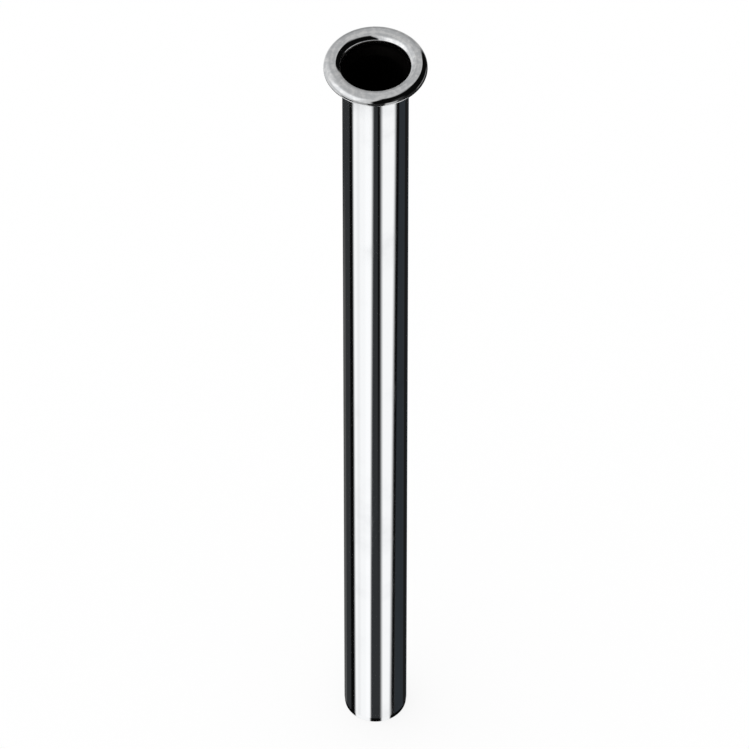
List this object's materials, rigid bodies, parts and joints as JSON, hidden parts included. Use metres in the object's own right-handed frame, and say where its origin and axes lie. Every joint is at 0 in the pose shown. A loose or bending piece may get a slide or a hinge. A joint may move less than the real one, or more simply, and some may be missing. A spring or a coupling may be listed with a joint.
{
  "type": "urinal flush pipe",
  "caption": "Straight chrome-plated flush pipe with a widened, flared mouth, a rounded flange for a union nut at its upper end and a plain tapered cut end.",
  "frame": {"origin": "centre of the plain cut end, which the pipe stands on", "axes": "+Z along the pipe's axis, from the cut end up to the flange's face; the section is round, so X and Y are free, and the picture is seen from -Y"},
  "size_m": [0.0234, 0.0234, 0.23],
  "materials": {
    "chrome": "polished chrome plate over a drawn brass tube"
  },
  "bodies": {
    "root": {"flush_pipe": "chrome"}
  },
  "joints": []
}
